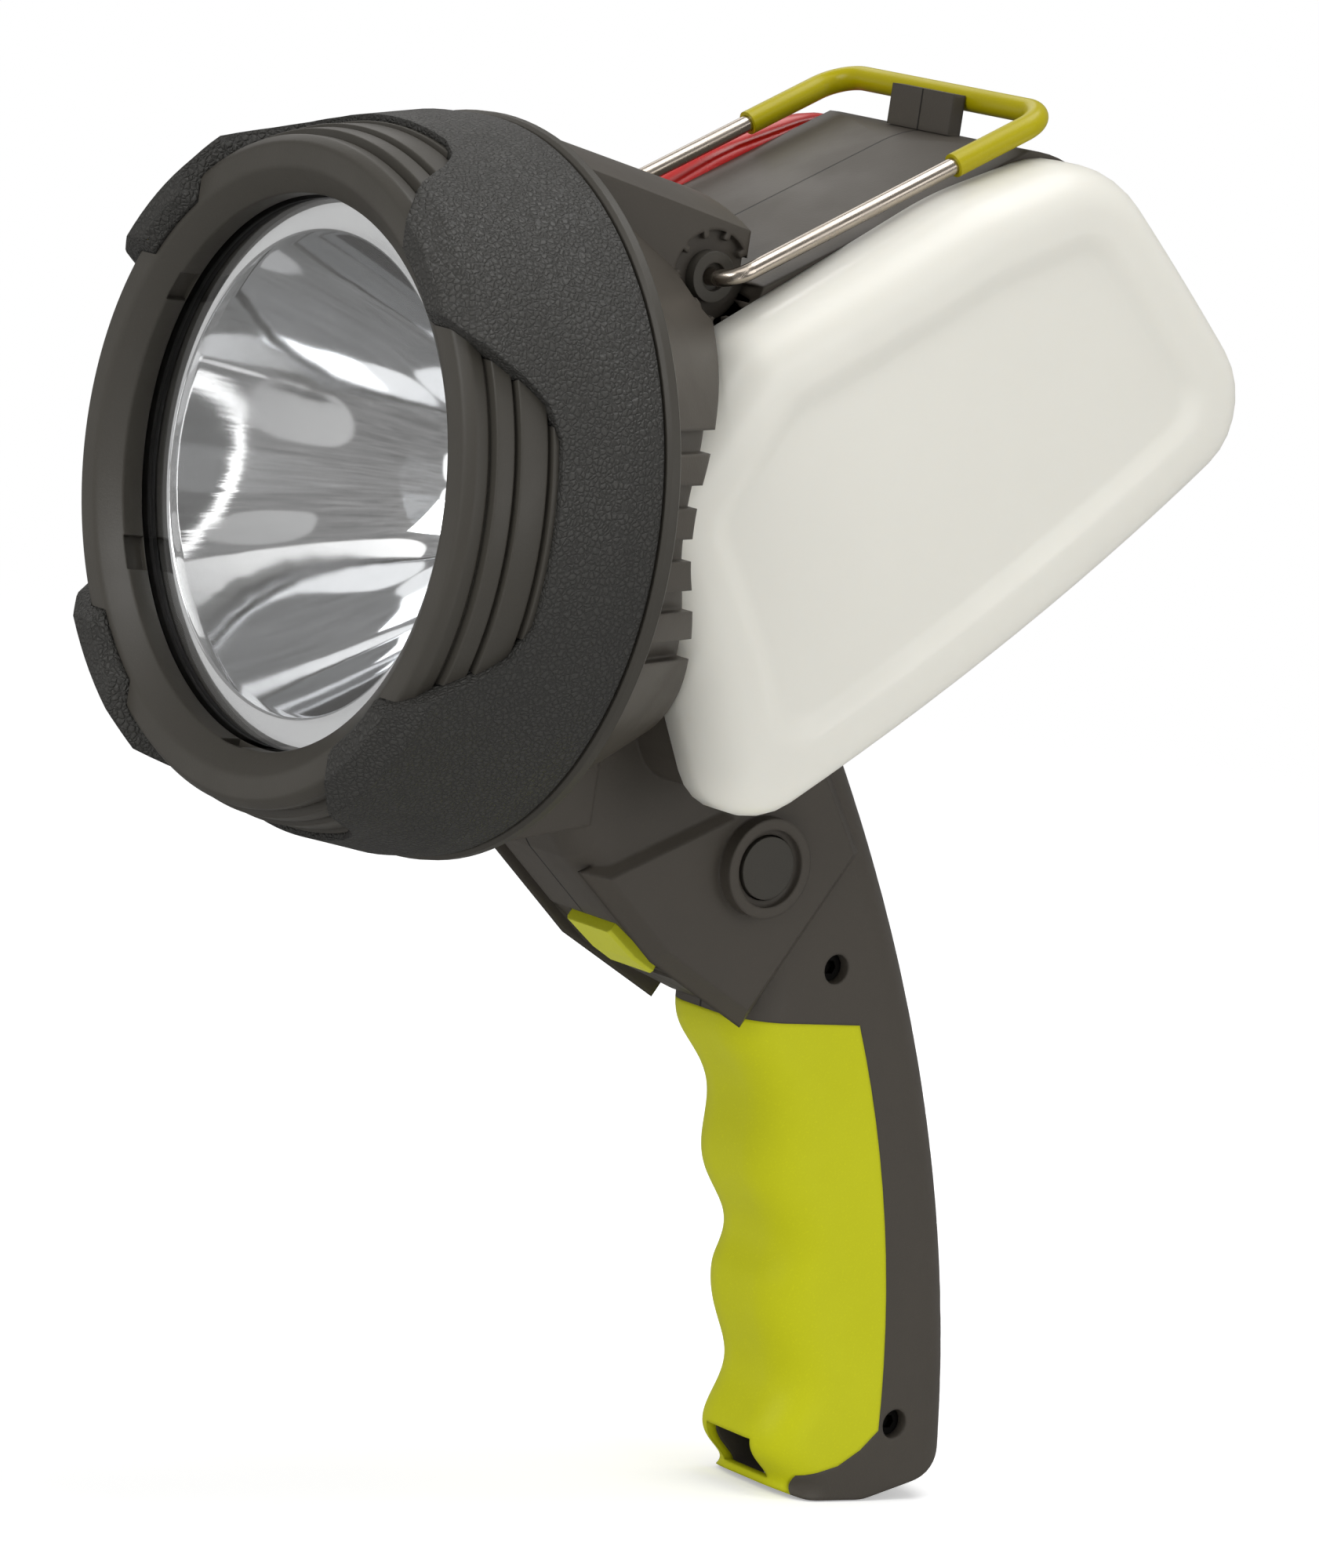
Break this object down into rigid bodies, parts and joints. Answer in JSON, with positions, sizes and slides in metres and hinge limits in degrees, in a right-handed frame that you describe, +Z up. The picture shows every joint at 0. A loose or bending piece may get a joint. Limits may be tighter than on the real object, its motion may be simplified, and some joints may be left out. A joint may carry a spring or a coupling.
{
  "type": "handheld searchlight",
  "caption": "Pistol-grip searchlight with a deep reflector, rubber-lobed bezel, side lantern covers, a folding wire bail, trigger and mode button.",
  "frame": {"origin": "on the beam axis, at the mouth of the bezel's straight bore", "axes": "+Z up, the beam leaves along -Y, and X = 0 is the plane between the housing halves"},
  "size_m": [0.1412, 0.2017, 0.2816],
  "materials": {
    "charcoal_plastic": "fine satin grain",
    "pebbled_rubber": "matt, pebbled",
    "lime_grip": "soft satin",
    "lime_plastic": "satin",
    "olive_sleeve": "satin",
    "satin_wire": "satin nickel",
    "milky_plastic": "milky, satin",
    "red_plastic": "translucent red",
    "clear_lens": "clear",
    "seal_rubber": "matt",
    "bright_reflector": "bright plated",
    "light_source": "domed",
    "circuit_board": "white solder mask",
    "bare_aluminium": "bare",
    "black_plastic": "matt",
    "cell_wrap": "shrink wrapped",
    "dark_steel": "blackened"
  },
  "bodies": {
    "light": {"bezel_ring": "charcoal_plastic", "rear_ring": "charcoal_plastic", "housing_left": "charcoal_plastic", "housing_right": "charcoal_plastic", "ratchet_bushes": "charcoal_plastic", "rubber_bumper": "pebbled_rubber", "soft_grip": "lime_grip", "white_diffuser": "milky_plastic", "red_diffuser": "red_plastic", "front_lens": "clear_lens", "lens_seal": "seal_rubber", "reflector": "bright_reflector", "led_emitter": "light_source", "work_light_leds": "light_source", "hazard_leds": "light_source", "led_board": "circuit_board", "work_light_board": "circuit_board", "hazard_light_board": "circuit_board", "control_board": "circuit_board", "heat_sink": "bare_aluminium", "mode_switch": "black_plastic", "trigger_switch": "black_plastic", "battery_holder": "black_plastic", "charge_socket": "black_plastic", "battery_cells": "cell_wrap", "housing_screws": "dark_steel", "trigger_pin": "dark_steel", "trigger_spring": "dark_steel"},
    "bail": {"bail_wire": "satin_wire", "bail_sleeve": "olive_sleeve"},
    "mode_button": {"mode_button": "charcoal_plastic"},
    "trigger": {"trigger": "lime_plastic"},
    "socket_flap": {"socket_flap": "charcoal_plastic"}
  },
  "joints": [
    {"name": "bail_hinge", "type": "hinge", "parent": "light", "child": "bail", "pos_m": [0, 0.0729, 0.0462], "axis": [1, 0, 0], "range_deg": [0, 115]},
    {"name": "trigger_pull", "type": "hinge", "parent": "light", "child": "trigger", "pos_m": [0, 0.09299, -0.07875], "axis": [1, 0, 0], "range_deg": [0, 8], "stiffness_Nm_per_rad": 0.05, "springref_deg": -5.73, "deforming": ["trigger_spring"]},
    {"name": "mode_press", "type": "slide", "parent": "light", "child": "mode_button", "axis": [-1, 0, 0], "range_m": [0, 0.0006], "stiffness_N_per_m": 400, "springref_m": -0.001},
    {"name": "flap_hinge", "type": "hinge", "parent": "light", "child": "socket_flap", "pos_m": [0, 0.16761, 0.06243], "axis": [1, 0, 0], "range_deg": [0, 110]}
  ]
}
